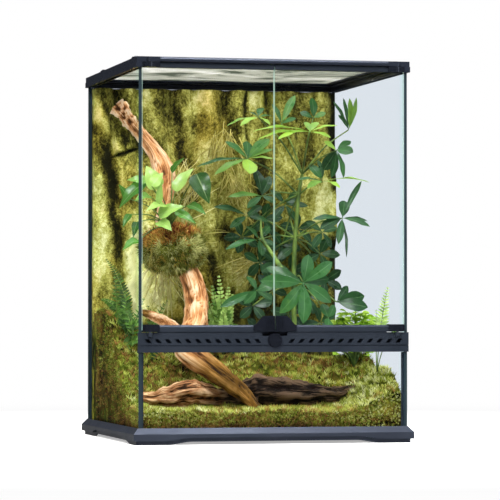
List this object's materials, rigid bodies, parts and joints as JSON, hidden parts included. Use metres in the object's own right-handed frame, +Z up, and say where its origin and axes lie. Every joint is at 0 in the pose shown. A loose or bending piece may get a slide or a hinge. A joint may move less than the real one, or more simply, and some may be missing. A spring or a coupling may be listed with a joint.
{
  "type": "reptile terrarium",
  "caption": "Tall glass reptile terrarium with twin front doors, a knob lock, a front vent, a lift-off screen lid with swivel clips, and a planted landscape inside.",
  "frame": {"origin": "on the floor under the middle of the base frame", "axes": "+X to the right seen from the doors, +Y from the doors to the back, +Z up"},
  "size_m": [0.469, 0.469, 0.6308],
  "materials": {
    "clear_glass": "clear float glass with green cut edges",
    "silicone": "black silicone",
    "frame_plastic": "satin moulded plastic",
    "top_plastic": "satin moulded plastic",
    "fitting_plastic": "semi-gloss moulded plastic",
    "plain_steel": "plain steel",
    "screen_wire": "fine metal screen",
    "rock_foam": "painted moulded rock relief",
    "soil": "loose coconut fibre soil",
    "moss": "living moss",
    "orange_wood": "peeled driftwood",
    "dark_wood": "weathered root",
    "umbrella_leaf": "glossy dark leaves",
    "pothos_leaf": "glossy bright leaves",
    "fern_leaf": "matt fern fronds",
    "herb_leaf": "bright green leaves"
  },
  "bodies": {
    "tank": {"base_frame": "frame_plastic", "bottom_glass": "clear_glass", "back_glass": "clear_glass", "left_glass": "clear_glass", "right_glass": "clear_glass", "front_window": "clear_glass", "corner_seals": "silicone", "window_channel": "frame_plastic", "vent_strip": "frame_plastic", "lower_hinge_pins": "plain_steel", "top_frame": "top_plastic", "upper_hinge_pins": "plain_steel", "lock_bezel": "fitting_plastic", "clip_screws": "plain_steel", "background_panel": "rock_foam", "soil": "soil", "moss_carpet": "moss", "root_log": "dark_wood", "driftwood": "orange_wood", "moss_clump": "moss", "umbrella_plant": "umbrella_leaf", "pothos": "pothos_leaf", "sword_fern": "fern_leaf", "button_fern": "fern_leaf", "corner_fern": "fern_leaf", "ground_herb": "herb_leaf"},
    "left_door": {"left_door_glass": "clear_glass", "left_bottom_rail": "frame_plastic", "left_top_rail": "frame_plastic", "left_handle": "fitting_plastic", "left_lower_hinge": "fitting_plastic", "left_upper_hinge": "fitting_plastic", "left_catch": "plain_steel"},
    "right_door": {"right_door_glass": "clear_glass", "right_bottom_rail": "frame_plastic", "right_top_rail": "frame_plastic", "right_handle": "fitting_plastic", "right_lower_hinge": "fitting_plastic", "right_upper_hinge": "fitting_plastic", "right_catch": "plain_steel"},
    "lock": {"lock_knob": "fitting_plastic", "latch_cam": "plain_steel"},
    "lid": {"lid_frame": "top_plastic", "lid_screen": "screen_wire"},
    "left_front_clip": {"left_front_clip": "fitting_plastic"},
    "left_rear_clip": {"left_rear_clip": "fitting_plastic"},
    "right_front_clip": {"right_front_clip": "fitting_plastic"},
    "right_rear_clip": {"right_rear_clip": "fitting_plastic"},
    "left_cable_shutter": {"left_cable_shutter": "fitting_plastic"},
    "right_cable_shutter": {"right_cable_shutter": "fitting_plastic"}
  },
  "joints": [
    {"name": "left_door_hinge", "type": "hinge", "parent": "tank", "child": "left_door", "pos_m": [-0.207, -0.23, 0.395], "axis": [0, 0, -1], "range_deg": [0, 110]},
    {"name": "right_door_hinge", "type": "hinge", "parent": "tank", "child": "right_door", "pos_m": [0.207, -0.23, 0.395], "axis": [0, 0, 1], "range_deg": [0, 110]},
    {"name": "lock_turn", "type": "hinge", "parent": "tank", "child": "lock", "pos_m": [0, -0.229, 0.1685], "axis": [0, -1, 0], "range_deg": [0, 90]},
    {"name": "lid_lift", "type": "slide", "parent": "tank", "child": "lid", "axis": [0, 0, 1], "range_m": [0, 0.08]},
    {"name": "left_front_clip_turn", "type": "hinge", "parent": "tank", "child": "left_front_clip", "pos_m": [-0.22, -0.175, 0.6275], "axis": [0, 0, -1], "range_deg": [0, 90]},
    {"name": "left_rear_clip_turn", "type": "hinge", "parent": "tank", "child": "left_rear_clip", "pos_m": [-0.22, 0.115, 0.6275], "axis": [0, 0, 1], "range_deg": [0, 90]},
    {"name": "right_front_clip_turn", "type": "hinge", "parent": "tank", "child": "right_front_clip", "pos_m": [0.22, -0.175, 0.6275], "axis": [0, 0, 1], "range_deg": [0, 90]},
    {"name": "right_rear_clip_turn", "type": "hinge", "parent": "tank", "child": "right_rear_clip", "pos_m": [0.22, 0.115, 0.6275], "axis": [0, 0, -1], "range_deg": [0, 90]},
    {"name": "left_shutter_slide", "type": "slide", "parent": "tank", "child": "left_cable_shutter", "axis": [1, 0, 0], "range_m": [0, 0.056]},
    {"name": "right_shutter_slide", "type": "slide", "parent": "tank", "child": "right_cable_shutter", "axis": [-1, 0, 0], "range_m": [0, 0.056]}
  ]
}
